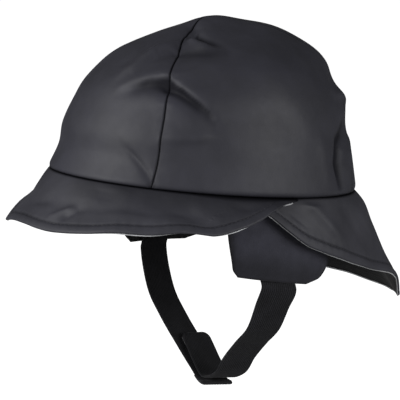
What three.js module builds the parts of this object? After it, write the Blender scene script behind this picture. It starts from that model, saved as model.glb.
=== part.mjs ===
// A child's rain hat in coated fabric, as it hangs when it is worn: a crown of four panels, a front
// brim, a long neck flap that starts under the brim's ends, two padded ear flaps and an elastic chin
// strap with a hook-and-loop tab. Millimetres, +Z up. The front faces -Y and the wearer's left is +X.
// The origin is the middle of the head opening, level with the seam between crown and brim.
import * as THREE from "three";
import { mergeGeometries, mergeVertices } from "three/addons/utils/BufferGeometryUtils.js";

// Head opening and crown
const OPENING_LENGTH = 193;
const OPENING_WIDTH = 158;
const FRONT_NARROWING = 0.04; // share by which the opening is narrower in front and wider behind
const SEAM_RISE = 11; // the brim seam stands this much higher in front, and as much lower behind
const SEAM_SAG = 0.8; // and dips this much at the sides
const CROWN_HEIGHT = 94;
const TOP_BULGE = 1.5; // a soft peak on the top
const TOP_BULGE_WIDTH = 13;
const TOP_BULGE_BACK = 10; // how far behind the middle it lies
const CROWN_TIP = 0.99; // the panels' tips stop at this share of the cloth's length, round the top
const CLOTH = 1.6; // coated outer cloth with its lining
const SEAM_GAP = 0.3; // between pieces that are sewn edge to edge
const SEAM_TUCK = 1.2; // how far a seam line draws the cloth in
const TUCK_WIDTH = 5;

// Front brim
const BRIM_REACH = 25.8;
const BRIM_DROP = 23.1;
const BRIM_END = 98; // degrees from the front to where each end of the brim meets the seam

// Neck flap
const NECK_REACH = 49.9;
const NECK_DROP = 80;
const NECK_START = 79; // degrees from the front, so that the brim covers its first stretch
const NECK_OPEN = 24; // degrees over which it comes out from under the brim
const NECK_UNDER = 2 * (CLOTH + SEAM_GAP); // how far inside the seam line it is sewn under the brim

// Light piping under both hems
const PIPING = 1.1;

// Ear flaps
const FLAP_DROP = 52.9; // from the middle of the opening's level to the flap's bottom edge
const FLAP_WIDTH = 78;
const FLAP_BACK = 10; // how far the flap's middle line lies behind the middle of the hat
const FLAP_PAD = 5; // thickness in the middle
const FLAP_EDGE = 2.4; // thickness along its edges
const FLAP_LEAN_FRONT = 6; // how far the bottom edge leans in towards the cheek in front
const FLAP_LEAN_REAR = -1; // and out, behind
const LEFT_SLANT = 14.2; // how much lower the left flap's bottom edge is behind, over the whole width
const RIGHT_SLANT = 5;
const FLAP_TOP = 3; // how far its sewn edge stands above the brim seam, inside the crown

// Chin strap
const STRAP_WIDTH = 21.5;
const STRAP_THICK = 1.4;
const STRAP_TURN = 4; // at the flaps, the front edge lies this much further in than the rear edge
const STRAP_TURN_LOW = 3; // the same at the lowest bend
const STRAP_EASE = 30; // the slant of the flap's edge is gone this far down the strap
const CHIN_DROP = 126; // from the opening's level to the lowest bend
const TAB_LENGTH = 37; // how far the left strap runs up the inside of the right one
const TAB_SHIFT = 3.2; // how far back its end lies, off the strap beneath
const TAB_CORNER = 5;
const RIGHT_FORWARD = 5; // the right strap is sewn on this much further forward than the left
const OVERLAP_FORWARD = 1; // and its end lies this much further forward than the left strap there
const STRAP_TAIL = 2; // how far the right strap's end passes the lowest bend
const HEM_LENGTH = 9; // its last stretch is turned under and sewn
const FASTENER_THICK = 1; // hook-and-loop tape between the two
const FASTENER_MARGIN = 2; // how far the tape's edges stay inside the strap's

// The crown's outline, from the brim seam to the top at even steps along the cloth. rise is a share of
// CROWN_HEIGHT; front, side and back are shares of the opening's size in those directions. seam and
// rear are how many degrees the front and rear seams lie behind their feet at that height.
const CROWN_SECTIONS = [
  { rise: 0, front: 1, side: 1, back: 1, seam: 0, rear: 0 },
  { rise: 0.156, front: 0.922, side: 0.982, back: 0.975, seam: 1.5, rear: 4 },
  { rise: 0.31, front: 0.893, side: 0.963, back: 0.953, seam: 2.3, rear: 7 },
  { rise: 0.461, front: 0.821, side: 0.92, back: 0.929, seam: 2.8, rear: 9 },
  { rise: 0.596, front: 0.739, side: 0.869, back: 0.87, seam: 2.6, rear: 10 },
  { rise: 0.73, front: 0.601, side: 0.769, back: 0.82, seam: 2, rear: 11 },
  { rise: 0.827, front: 0.471, side: 0.632, back: 0.707, seam: 1.5, rear: 12 },
  { rise: 0.905, front: 0.299, side: 0.443, back: 0.594, seam: 0, rear: 13 },
  { rise: 0.96, front: 0.157, side: 0.258, back: 0.458, seam: -4, rear: 15 },
  { rise: 0.99, front: 0.07, side: 0.11, back: 0.269, seam: -11, rear: 18 },
  { rise: 1, front: 0, side: 0, back: 0, seam: -16, rear: 20 },
];

// Folds and soft bulges of the crown. turn is degrees from the front towards the wearer's left, up is
// the share of the cloth's length from the brim seam to the top, and each fold runs from one end to
// the other. width and height are in millimetres; a negative height is a dent.
const CROWN_FOLDS = [
  { turn: 47, up: 0.467, toTurn: 20, toUp: 0.43, width: 7, height: 2.2 },
  { turn: 47, up: 0.415, toTurn: 24, toUp: 0.38, width: 7, height: -2.2 },
  { turn: 52, up: 0.455, toTurn: 67, toUp: 0.32, width: 7, height: 1.8 },
  { turn: 52, up: 0.41, toTurn: 66, toUp: 0.29, width: 7, height: -2.2 },
  { turn: 53, up: 0.34, toTurn: 60, toUp: 0.29, width: 9, height: 0.9 },
  { turn: 47, up: 0.62, toTurn: 46, toUp: 0.8, width: 14, height: -3.4 },
  { turn: 57, up: 0.7, toTurn: 70, toUp: 0.65, width: 6, height: 1.8 },
  { turn: 16, up: 0.46, toTurn: 33, toUp: 0.66, width: 6, height: 1.6 },
  { turn: 45, up: 0.02, toTurn: 29, toUp: 0.18, width: 4.5, height: -1.3 },
  { turn: 60, up: 0.73, toTurn: 105, toUp: 0.7, width: 9, height: -1.2 },
  { turn: 90, up: 0.55, toTurn: 108, toUp: 0.22, width: 10, height: 0.9 },
  { turn: 120, up: 0.53, toTurn: 130, toUp: 0.46, width: 9, height: -1.4 },
  { turn: 137, up: 0.25, toTurn: 121, toUp: 0.17, width: 6, height: -2.6 },
  { turn: 121, up: 0.17, toTurn: 121, toUp: 0.05, width: 6, height: -2.2 },
  { turn: 134, up: 0.16, toTurn: 127, toUp: 0.05, width: 5, height: 1.6 },
  { turn: 147, up: 0.355, toTurn: 185, toUp: 0.335, width: 8, height: 2.7 },
  { turn: 138, up: 0.24, toTurn: 185, toUp: 0.24, width: 9, height: -1.9 },
  { turn: 140, up: 0.45, toTurn: 185, toUp: 0.45, width: 9, height: -1.8 },
  { turn: 140, up: 0.58, toTurn: 185, toUp: 0.58, width: 8, height: 0.7 },
  { turn: 220, up: 0.04, toTurn: 206, toUp: 0.2, width: 6, height: -1.4 },
  { turn: 205, up: 0.52, toTurn: 238, toUp: 0.43, width: 9, height: 1.7 },
  { turn: -50, up: 0.46, toTurn: -69, toUp: 0.39, width: 6, height: 1.4 },
  { turn: -50, up: 0.42, toTurn: -66, toUp: 0.35, width: 6, height: -1.6 },
  { turn: -47, up: 0.64, toTurn: -46, toUp: 0.8, width: 12, height: -1.2 },
  { turn: -44, up: 0.03, toTurn: -30, toUp: 0.18, width: 5, height: -0.9 },
  { turn: -130, up: 0.24, toTurn: -125, toUp: 0.05, width: 6, height: -2.1 },
  { turn: -86, up: 0.52, toTurn: -102, toUp: 0.25, width: 9, height: 0.8 },
];

// The brim round one side. along is a share of BRIM_END, reach and drop are shares of the full brim.
const BRIM_SECTIONS = [
  { along: 0, reach: 1, drop: 1 },
  { along: 0.3, reach: 0.93, drop: 0.99 },
  { along: 0.51, reach: 0.758, drop: 0.871 },
  { along: 0.66, reach: 0.661, drop: 0.828 },
  { along: 0.735, reach: 0.586, drop: 0.652 },
  { along: 0.8, reach: 0.469, drop: 0.478 },
  { along: 0.9, reach: 0.229, drop: 0.14 },
  { along: 1, reach: 0.02, drop: 0.02 },
];

// The brim from the seam out to its hem, at even steps: it drops first, then flares.
const BRIM_PROFILE = [
  { out: 0, down: 0 },
  { out: 0.11, down: 0.13 },
  { out: 0.28, down: 0.35 },
  { out: 0.43, down: 0.55 },
  { out: 0.59, down: 0.68 },
  { out: 0.78, down: 0.83 },
  { out: 1, down: 1 },
];

// The brim's waves: turn and width in degrees, and how much the hem is lifted, in millimetres.
const BRIM_WAVES = [
  { turn: -24, width: 15, lift: -7.4 },
  { turn: 12, width: 10, lift: -1.9 },
  { turn: 36, width: 8, lift: 1.8 },
  { turn: 57, width: 7, lift: 2.2 },
  { turn: -62, width: 10, lift: 1.5 },
];

// The neck flap round one side. along is a share of the way from NECK_START to the middle of the back.
const NECK_SECTIONS = [
  { along: 0, reach: 0.03, drop: 0.02 },
  { along: 0.075, reach: 0.087, drop: 0.11 },
  { along: 0.154, reach: 0.101, drop: 0.227 },
  { along: 0.234, reach: 0.108, drop: 0.332 },
  { along: 0.329, reach: 0.111, drop: 0.402 },
  { along: 0.453, reach: 0.142, drop: 0.482 },
  { along: 0.595, reach: 0.245, drop: 0.567 },
  { along: 0.737, reach: 0.485, drop: 0.651 },
  { along: 0.863, reach: 0.716, drop: 0.807 },
  { along: 1, reach: 1, drop: 1 },
];

// Its waves: the corner at the left rear hangs lower, and so does the right side.
const NECK_WAVES = [
  { turn: 170.8, width: 6, lift: -4.9 },
  { turn: 180.7, width: 6, lift: 3.8 },
  { turn: 202.3, width: 9, lift: -8 },
];

// The neck flap from the seam out to its hem, at even steps.
const NECK_PROFILE = [
  { out: 0, down: 0 },
  { out: 0.248, down: 0.16 },
  { out: 0.416, down: 0.38 },
  { out: 0.58, down: 0.58 },
  { out: 0.758, down: 0.78 },
  { out: 1, down: 1 },
];

// The ear flap's outline from its sewn edge down. down is a share of its whole height; front and rear
// are shares of half FLAP_WIDTH, forward and back from its middle line.
const FLAP_SECTIONS = [
  { down: 0, front: 0.97, rear: 1.1 },
  { down: 0.3, front: 0.97, rear: 1.13 },
  { down: 0.55, front: 0.94, rear: 1.13 },
  { down: 0.7, front: 0.9, rear: 1.09 },
  { down: 0.83, front: 0.86, rear: 0.98 },
  { down: 0.93, front: 0.83, rear: 0.81 },
  { down: 1, front: 0.75, rear: 0.52 },
];

// The strap from an ear flap's bottom edge to the lowest bend. left and right are shares of the distance
// from the hat's middle plane to the flap on that side, down a share of the height between flap and
// lowest bend.
const STRAP_ROUTE = [
  { left: 1, right: 1, down: 0 },
  { left: 1, right: 1, down: 0.06 },
  { left: 0.91, right: 0.965, down: 0.2 },
  { left: 0.77, right: 0.85, down: 0.42 },
  { left: 0.58, right: 0.66, down: 0.58 },
  { left: 0.39, right: 0.42, down: 0.75 },
  { left: 0.24, right: 0.18, down: 0.91 },
];

const coatedCloth = new THREE.MeshStandardMaterial({ color: 0x3a3b42, roughness: 0.5 });
const flapCloth = new THREE.MeshStandardMaterial({ color: 0x2d2e34, roughness: 0.8 });
const elastic = new THREE.MeshStandardMaterial({ color: 0x1c1c20, roughness: 0.9 });
const hookTape = new THREE.MeshStandardMaterial({ color: 0x141417, roughness: 0.95 });
const lightPiping = new THREE.MeshStandardMaterial({ color: 0xc8cacc, roughness: 0.4 });

const radians = THREE.MathUtils.degToRad;
const degrees = THREE.MathUtils.radToDeg;
const mix = THREE.MathUtils.lerp;

// One column of a table of evenly spaced rows, as a smooth curve through them.
function smoothColumn(rows, column, share) {
  const place = THREE.MathUtils.clamp(share, 0, 1) * (rows.length - 1);
  const row = Math.min(Math.floor(place), rows.length - 2);
  const value = (index) => rows[THREE.MathUtils.clamp(index, 0, rows.length - 1)][column];
  const [before, start, end, after] = [value(row - 1), value(row), value(row + 1), value(row + 2)];
  const way = place - row;
  const slopeIn = (end - before) / 2;
  const slopeOut = (after - start) / 2;
  const bend = 2 * (start - end) + slopeIn + slopeOut;
  return ((bend * way + 3 * (end - start) - 2 * slopeIn - slopeOut) * way + slopeIn) * way + start;
}

// The same for rows that a key column spaces unevenly.
function smoothKeyed(rows, key, column, at) {
  let row = 0;
  while (row < rows.length - 2 && rows[row + 1][key] < at) row += 1;
  const way = (at - rows[row][key]) / (rows[row + 1][key] - rows[row][key]);
  return smoothColumn(rows, column, (row + THREE.MathUtils.clamp(way, 0, 1)) / (rows.length - 1));
}

// Degrees from one turn to another, the short way round.
function degreesApart(turn, other) {
  return ((((turn - other + 180) % 360) + 360) % 360) - 180;
}

// The opening's outline, its outward direction in plan, and the seam's height there.
function openingAt(turn) {
  const s = Math.sin(radians(turn));
  const c = Math.cos(radians(turn));
  const width = (OPENING_WIDTH / 2) * (1 - FRONT_NARROWING * c);
  const outward = new THREE.Vector3(s / width, -c / (OPENING_LENGTH / 2), 0).normalize();
  const point = new THREE.Vector3(width * s, (-OPENING_LENGTH / 2) * c, SEAM_RISE * c - SEAM_SAG * s * s);
  return { point, outward };
}

// Distance in millimetres from a place on the crown to a fold, measured on the unrolled cloth.
function distanceToFold(turn, up, fold) {
  const perDegree = ((OPENING_LENGTH + OPENING_WIDTH) / 4) * radians(1) * Math.max(0.25, 1 - up ** 2);
  const perUp = CROWN_HEIGHT * 1.5;
  const place = new THREE.Vector2(degreesApart(turn, fold.turn) * perDegree, (up - fold.up) * perUp);
  const run = new THREE.Vector2((fold.toTurn - fold.turn) * perDegree, (fold.toUp - fold.up) * perUp);
  const share = THREE.MathUtils.clamp(place.dot(run) / Math.max(run.lengthSq(), 1e-6), 0, 1);
  return place.sub(run.multiplyScalar(share)).length();
}

function foldHeight(turn, up) {
  let height = 0;
  for (const fold of CROWN_FOLDS) {
    height += fold.height * Math.exp(-((distanceToFold(turn, up, fold) / fold.width) ** 2));
  }
  return height;
}

function crownForm(turn, up) {
  const { point } = openingAt(turn);
  const lengthwise = Math.cos(radians(turn));
  const share = Math.abs(lengthwise) ** 1.5;
  const end = smoothColumn(CROWN_SECTIONS, lengthwise > 0 ? "front" : "back", up);
  const reach = mix(smoothColumn(CROWN_SECTIONS, "side", up), end, share);
  const rise = smoothColumn(CROWN_SECTIONS, "rise", up);
  const place = new THREE.Vector3(point.x * reach, point.y * reach, mix(point.z, CROWN_HEIGHT, rise));
  const fromPeak = Math.hypot(place.x, place.y - TOP_BULGE_BACK);
  place.z += TOP_BULGE * Math.exp(-((fromPeak / TOP_BULGE_WIDTH) ** 2));
  return place;
}

function crownNormal(turn, up) {
  const low = THREE.MathUtils.clamp(up, 0.01, 0.95);
  const along = crownForm(turn + 1, low).sub(crownForm(turn - 1, low));
  const upward = crownForm(turn, low + 0.01).sub(crownForm(turn, low - 0.01));
  return along.cross(upward).normalize();
}

const FRONT_SEAM = 45; // degrees from the front to the foot of each front seam
const REAR_SEAM = 135; // and of each rear seam

// The turn of the left front seam at a height; the right one mirrors it.
function frontSeamAt(up) {
  return FRONT_SEAM + smoothColumn(CROWN_SECTIONS, "seam", up);
}

function rearSeamAt(up) {
  return REAR_SEAM + smoothColumn(CROWN_SECTIONS, "rear", up);
}

// A place on the crown's outer face, or that far inside it, with its folds and drawn-in seams.
function crownAt(turn, up, inset) {
  const place = crownForm(turn, up);
  let nearest = up * CROWN_HEIGHT * 1.5;
  for (const seam of [frontSeamAt(up), rearSeamAt(up)]) {
    const apart = Math.min(Math.abs(degreesApart(turn, seam)), Math.abs(degreesApart(turn, -seam)));
    nearest = Math.min(nearest, radians(apart) * Math.hypot(place.x, place.y));
  }
  const tuck = SEAM_TUCK * Math.exp(-((nearest / TUCK_WIDTH) ** 2));
  const calm = Math.min(1, up * 12, (1 - up) * 6);
  const facing = crownNormal(turn, up);
  facing.z *= Math.min(1, up * 12);
  return place.addScaledVector(facing, foldHeight(turn, up) * calm - tuck - inset);
}

function solidFrom(geometries) {
  for (const geometry of geometries) {
    geometry.deleteAttribute("normal");
    geometry.deleteAttribute("uv");
  }
  return mergeVertices(mergeGeometries(geometries), 1e-4);
}

function bentSheet(columns, rows, at) {
  const sheet = new THREE.PlaneGeometry(1, 1, columns, rows);
  const position = sheet.getAttribute("position");
  for (let i = 0; i < position.count; i += 1) {
    const place = at(position.getX(i) + 0.5, position.getY(i) + 0.5);
    position.setXYZ(i, place.x, place.y, place.z);
  }
  return sheet;
}

// A closed wall between an outer and an inner face, each a function of the shares across and up.
function wall(columns, rows, outer, inner) {
  const between = (from, to, share) => from.clone().lerp(to, share);
  return solidFrom([
    bentSheet(columns, rows, outer),
    bentSheet(columns, rows, (u, v) => inner(1 - u, v)),
    bentSheet(columns, 1, (u, v) => between(inner(u, 0), outer(u, 0), v)),
    bentSheet(columns, 1, (u, v) => between(outer(u, 1), inner(u, 1), v)),
    bentSheet(1, rows, (u, v) => between(inner(0, v), outer(0, v), u)),
    bentSheet(1, rows, (u, v) => between(outer(1, v), inner(1, v), u)),
  ]);
}

// A panel of the crown between two seams, each a turn that depends on the height.
function crownPanel(startAt, endAt) {
  const face = (inset) => (across, share) => {
    const up = share * CROWN_TIP;
    const [start, end] = [startAt(up), endAt(up)];
    const form = crownForm(mix(start, end, across), up);
    const halfGap = degrees(SEAM_GAP / 2 / Math.hypot(form.x, form.y));
    return crownAt(mix(start + halfGap, end - halfGap, across), up, inset);
  };
  return wall(Math.round((endAt(0) - startAt(0)) / 6), 16, face(0), face(CLOTH));
}

// A skirt that hangs from the brim seam: a place at a turn, a share of the way from the seam to the
// hem, and a distance inside its outer face. under is how far inside the seam line it is sewn.
function skirtAt(turn, hang, profile, reach, drop, inset, under) {
  const { point, outward } = openingAt(turn);
  const out = reach * smoothColumn(profile, "out", hang);
  const down = drop * smoothColumn(profile, "down", hang);
  const facing = new THREE.Vector3(outward.x, outward.y, reach / drop).normalize();
  const tuck = SEAM_TUCK * (1 - hang) ** 4 + under;
  return point
    .addScaledVector(outward, out - tuck)
    .add(new THREE.Vector3(0, 0, -down - SEAM_GAP))
    .addScaledVector(facing, -inset);
}

// How much a skirt's waves lift its hem at a turn.
function liftAt(turn, waves) {
  let lift = 0;
  for (const wave of waves) {
    lift += wave.lift * Math.exp(-(((turn - wave.turn) / wave.width) ** 2));
  }
  return lift;
}

function brimAt(turn, hang, inset) {
  const along = Math.abs(turn) / BRIM_END;
  const reach = BRIM_REACH * smoothKeyed(BRIM_SECTIONS, "along", "reach", along);
  const drop = BRIM_DROP * smoothKeyed(BRIM_SECTIONS, "along", "drop", along);
  return skirtAt(turn, hang, BRIM_PROFILE, reach, drop - liftAt(turn, BRIM_WAVES), inset, 0);
}

function neckAt(turn, hang, inset) {
  const fromBack = Math.abs(turn - 180);
  const along = 1 - fromBack / (180 - NECK_START);
  const reach = NECK_REACH * smoothKeyed(NECK_SECTIONS, "along", "reach", along);
  const drop = NECK_DROP * smoothKeyed(NECK_SECTIONS, "along", "drop", along);
  const clear = THREE.MathUtils.smoothstep(180 - fromBack, BRIM_END, BRIM_END + NECK_OPEN);
  const under = NECK_UNDER * (1 - clear);
  return skirtAt(turn, hang, NECK_PROFILE, reach, drop - liftAt(turn, NECK_WAVES), inset, under);
}

const brimTurn = (across) => mix(-BRIM_END, BRIM_END, across);
const neckTurn = (across) => mix(NECK_START, 360 - NECK_START, across);

function frontBrim() {
  const face = (inset) => (across, up) => brimAt(brimTurn(across), 1 - up, inset);
  return wall(46, 6, face(0), face(CLOTH));
}

function neckFlap() {
  const face = (inset) => (across, up) => neckAt(neckTurn(across), 1 - up, inset);
  return wall(44, 7, face(0), face(CLOTH));
}

// Piping sewn under a hem: a thin cord just past the hem's edge, towards the inner face.
function hemPiping(skirt, turnAt, steps) {
  const points = [];
  for (let i = 0; i <= steps; i += 1) {
    const turn = turnAt(mix(0.02, 0.98, i / steps));
    const edge = skirt(turn, 1, CLOTH * 0.7);
    const onward = edge.clone().sub(skirt(turn, 0.94, CLOTH * 0.7)).normalize();
    points.push(edge.addScaledVector(onward, PIPING / 2 + SEAM_GAP));
  }
  const section = new THREE.Shape();
  section.moveTo(PIPING / 2, 0);
  for (let corner = 1; corner < 5; corner += 1) {
    const angle = radians(72 * corner);
    section.lineTo((PIPING / 2) * Math.cos(angle), (PIPING / 2) * Math.sin(angle));
  }
  const path = new THREE.CatmullRomCurve3(points);
  return solidFrom([new THREE.ExtrudeGeometry(section, { steps, bevelEnabled: false, extrudePath: path })]);
}

// The height of an ear flap's bottom edge. side is 1 for the left flap and -1 for the right one.
function flapFoot(side, y) {
  return -FLAP_DROP - ((side > 0 ? LEFT_SLANT : RIGHT_SLANT) * (y - FLAP_BACK)) / FLAP_WIDTH;
}

// A place on an ear flap's outer face, or under it: depth is a share of its thickness there. The right
// flap's places still need their x turned round.
function flapAt(side, across, up, depth) {
  const down = 1 - up;
  const half = FLAP_WIDTH / 2;
  const front = FLAP_BACK - half * smoothKeyed(FLAP_SECTIONS, "down", "front", down);
  const rear = FLAP_BACK + half * smoothKeyed(FLAP_SECTIONS, "down", "rear", down);
  const y = mix(front, rear, across);
  const turn = degrees(Math.acos((-y / OPENING_LENGTH) * 2));
  const { point, outward } = openingAt(turn);
  const z = mix(point.z + FLAP_TOP, flapFoot(side, y), down);
  const lean = mix(FLAP_LEAN_FRONT, FLAP_LEAN_REAR, (y - FLAP_BACK) / FLAP_WIDTH + 0.5) * down ** 1.3;
  const pillow = (1 - Math.abs(2 * across - 1) ** 3) * Math.sin(Math.PI * down) ** 0.6;
  const swell = ((FLAP_PAD - FLAP_EDGE) / 2) * pillow;
  const sewn = SEAM_TUCK + NECK_UNDER + CLOTH + 2 * SEAM_GAP;
  const out = swell - sewn - lean - depth * (FLAP_EDGE + 2 * swell);
  return point.setZ(z).addScaledVector(outward, out);
}

function earFlap(side) {
  const face = (depth) => (u, v) => {
    const place = flapAt(side, side > 0 ? u : 1 - u, v, depth);
    return place.setX(place.x * side);
  };
  return wall(12, 10, face(0), face(1));
}

// The strap's route from the left ear flap round the lowest bend to the right one, seen from the front.
function strapRoute() {
  const foot = flapAt(1, 0.5, 0, 0.5);
  const heightAt = (down) => mix(-FLAP_DROP - SEAM_GAP, -CHIN_DROP, down);
  const left = STRAP_ROUTE.map((row) => new THREE.Vector3(foot.x * row.left, 0, heightAt(row.down)));
  const right = STRAP_ROUTE.map((row) => new THREE.Vector3(-foot.x * row.right, 0, heightAt(row.down)));
  return new THREE.CatmullRomCurve3([...left, new THREE.Vector3(0, 0, -CHIN_DROP), ...right.reverse()]);
}

const route = strapRoute();
const routeLengths = route.getLengths();
const routeLength = routeLengths[routeLengths.length - 1];
const lowest = routeLengths[(routeLengths.length - 1) / 2];
const strapMiddle = FLAP_BACK - 0.5;

// A place on a strap: along in millimetres from the left flap, y, and a distance into the loop.
function strapAt(along, y, into) {
  const share = along / routeLength;
  const ahead = route.getTangentAt(share);
  const inward = new THREE.Vector3(ahead.z, 0, -ahead.x);
  const side = along < lowest ? 1 : -1;
  const fromFlap = side > 0 ? along : routeLength - along;
  const toLowest = fromFlap / (side > 0 ? lowest : routeLength - lowest);
  const turn = mix(STRAP_TURN, STRAP_TURN_LOW, toLowest);
  const turned = (turn * (strapMiddle - y)) / STRAP_WIDTH;
  const ease = 1 - THREE.MathUtils.smoothstep(fromFlap, 0, STRAP_EASE);
  const slanted = (flapFoot(side, y) + FLAP_DROP) * ease;
  const place = route.getPointAt(share).addScaledVector(inward, into + turned);
  return place.set(place.x, y, place.z + slanted);
}

// A strap between two places along the route. middleAt, layerAt and thickAt give its middle line's y,
// how far into the loop its inner face lies, and its thickness; roundEnd narrows its far end.
function strap(from, to, columns, width, roundEnd, middleAt, layerAt, thickAt) {
  const face = (isOuter) => (u, v) => {
    const along = mix(from, to, u);
    const beyond = Math.max(0, along - (to - roundEnd));
    const narrowed = roundEnd > 0 ? roundEnd - Math.sqrt(Math.max(0, roundEnd ** 2 - beyond ** 2)) : 0;
    const y = middleAt(along) + (v - 0.5) * (width - 2 * narrowed);
    return strapAt(along, y, layerAt(along) - (isOuter ? thickAt(along) : 0));
  };
  return wall(columns, 2, face(true), face(false));
}

const leftMiddle = (along) => {
  return strapMiddle + TAB_SHIFT * THREE.MathUtils.smoothstep(along, lowest, lowest + TAB_LENGTH);
};
const rightMiddle = (along) => {
  const sewnOn = THREE.MathUtils.smoothstep(along, lowest, routeLength);
  return strapMiddle - mix(OVERLAP_FORWARD, RIGHT_FORWARD, sewnOn);
};
const fastenerLayer = -STRAP_THICK / 2 - SEAM_GAP;
const rightLayer = (along) => {
  const overlap = fastenerLayer - FASTENER_THICK - SEAM_GAP;
  const free = THREE.MathUtils.smoothstep(along, lowest + TAB_LENGTH, routeLength);
  return mix(overlap, STRAP_THICK / 2, free);
};

function leftStrap() {
  const layer = () => STRAP_THICK / 2;
  const end = lowest + TAB_LENGTH;
  return strap(0, end, 34, STRAP_WIDTH, TAB_CORNER, leftMiddle, layer, () => STRAP_THICK);
}

function rightStrap() {
  const start = lowest - STRAP_TAIL;
  const thick = (along) => STRAP_THICK * (along < start + HEM_LENGTH ? 2 : 1);
  return strap(start, routeLength, 34, STRAP_WIDTH, 0, rightMiddle, rightLayer, thick);
}

function strapFastener() {
  const start = lowest + FASTENER_MARGIN;
  const end = lowest + TAB_LENGTH - FASTENER_MARGIN;
  const width = STRAP_WIDTH - 2 * FASTENER_MARGIN - TAB_SHIFT;
  const middle = (along) => (leftMiddle(along) + rightMiddle(along)) / 2;
  return strap(start, end, 12, width, 0, middle, () => fastenerLayer, () => FASTENER_THICK);
}

const group = new THREE.Group();
group.name = "rain_hat";

function addPiece(name, geometry, material) {
  const mesh = new THREE.Mesh(geometry, material);
  mesh.name = name;
  group.add(mesh);
}

const rightRearSeam = (up) => 360 - rearSeamAt(up);
const rightFrontSeam = (up) => -frontSeamAt(up);
const rightFrontSeamRound = (up) => 360 - frontSeamAt(up);
addPiece("crown_front_panel", crownPanel(rightFrontSeam, frontSeamAt), coatedCloth);
addPiece("crown_left_panel", crownPanel(frontSeamAt, rearSeamAt), coatedCloth);
addPiece("crown_back_panel", crownPanel(rearSeamAt, rightRearSeam), coatedCloth);
addPiece("crown_right_panel", crownPanel(rightRearSeam, rightFrontSeamRound), coatedCloth);
addPiece("front_brim", frontBrim(), coatedCloth);
addPiece("neck_flap", neckFlap(), coatedCloth);
addPiece("brim_piping", hemPiping(brimAt, brimTurn, 46), lightPiping);
addPiece("neck_piping", hemPiping(neckAt, neckTurn, 52), lightPiping);
addPiece("ear_flap_left", earFlap(1), flapCloth);
addPiece("ear_flap_right", earFlap(-1), flapCloth);
addPiece("chin_strap_left", leftStrap(), elastic);
addPiece("chin_strap_right", rightStrap(), elastic);
addPiece("strap_fastener", strapFastener(), hookTape);

export default group;
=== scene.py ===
import math

import bmesh
import bpy
import numpy as np
from mathutils import Matrix, Vector, noise


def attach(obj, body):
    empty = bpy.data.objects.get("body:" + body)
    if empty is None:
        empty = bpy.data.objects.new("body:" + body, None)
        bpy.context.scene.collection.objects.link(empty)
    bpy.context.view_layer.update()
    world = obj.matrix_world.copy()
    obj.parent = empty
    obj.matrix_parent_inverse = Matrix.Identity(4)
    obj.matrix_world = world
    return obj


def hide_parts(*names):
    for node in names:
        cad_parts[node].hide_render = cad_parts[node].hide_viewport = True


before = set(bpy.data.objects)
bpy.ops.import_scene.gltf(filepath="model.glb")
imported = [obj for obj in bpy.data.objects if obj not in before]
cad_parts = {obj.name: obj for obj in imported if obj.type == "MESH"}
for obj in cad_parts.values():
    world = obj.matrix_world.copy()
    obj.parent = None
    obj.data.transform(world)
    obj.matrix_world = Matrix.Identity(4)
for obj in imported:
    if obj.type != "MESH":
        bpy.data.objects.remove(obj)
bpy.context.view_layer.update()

MM = 0.001
SCENE = bpy.context.scene

# Head opening and crown, as in the part
OPENING_LENGTH = 193
OPENING_WIDTH = 158
FRONT_NARROWING = 0.04
SEAM_RISE = 11
SEAM_SAG = 0.8
CROWN_HEIGHT = 94
TOP_BULGE = 2.1
TOP_BULGE_WIDTH = 13
TOP_BULGE_BACK = 10
CROWN_CLOTH = CROWN_HEIGHT * 1.5
CLOTH_PER_DEGREE = (OPENING_LENGTH + OPENING_WIDTH) / 4 * math.radians(1)
CLOTH = 1.6
SEAM_GAP = 0.3
SEAM_TUCK = 1.2
SEAM_FURROW = 0.7
SEAM_FURROW_WIDTH = 0.45
SEAM_GATHER = 0.12
FOOT_GATHER = 0.16
FRONT_SEAM = 45
REAR_SEAM = 135

# Brim, neck flap and piping
BRIM_REACH = 25.8
BRIM_DROP = 23.1
BRIM_END = 98
NECK_REACH = 49.9
NECK_DROP = 80
NECK_START = 79
NECK_OPEN = 24
NECK_UNDER = 2 * (CLOTH + SEAM_GAP)
PIPING = 1.1
BRIM_HEM = 4.2
NECK_HEM = 5.0
STITCH = 2.6

# Millimetres of cloth in a degree of turn, and from the seam to the hem, for the skirts' folds
BRIM_PER_DEGREE = 1.8
BRIM_CLOTH = 35
NECK_PER_DEGREE = 1.7
NECK_CLOTH = 75

# The seam allowance, as a share of the skirt, and how high it turns up
ALLOWANCE = 0.2
ALLOWANCE_HEIGHT = 5

# Painted shade in seams and creases and under edges: how far it reaches in millimetres, or how deep it is
SEAM_SHADE_WIDTH = 0.65
FOOT_SHADE_WIDTH = 1.3
KNOT_SHADE_WIDTH = 4
CREASE_SHADE = 0.66
UNDER_EDGE_WIDTH = 2.0
UNDER_EDGE_MORE = 3.2
UNDER_EDGE_MORE_AT = 76
UNDER_EDGE_FADE = 12
HEM_SHADE = 0.5
HEM_SHADE_WIDTH = 0.6

# Ear flaps
FLAP_DROP = 52.9
FLAP_WIDTH = 78
FLAP_BACK = 10
FLAP_PAD = 5
FLAP_EDGE = 2.4
FLAP_LEAN_FRONT = 6
FLAP_LEAN_REAR = -1
LEFT_SLANT = 14.2
RIGHT_SLANT = 5
FLAP_TOP = 3
RIGHT_ROUNDER = 3.5
PAD_PRESSURE = 2.5
PAD_SWELL = 1.2
PAD_STEPS = 15

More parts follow.
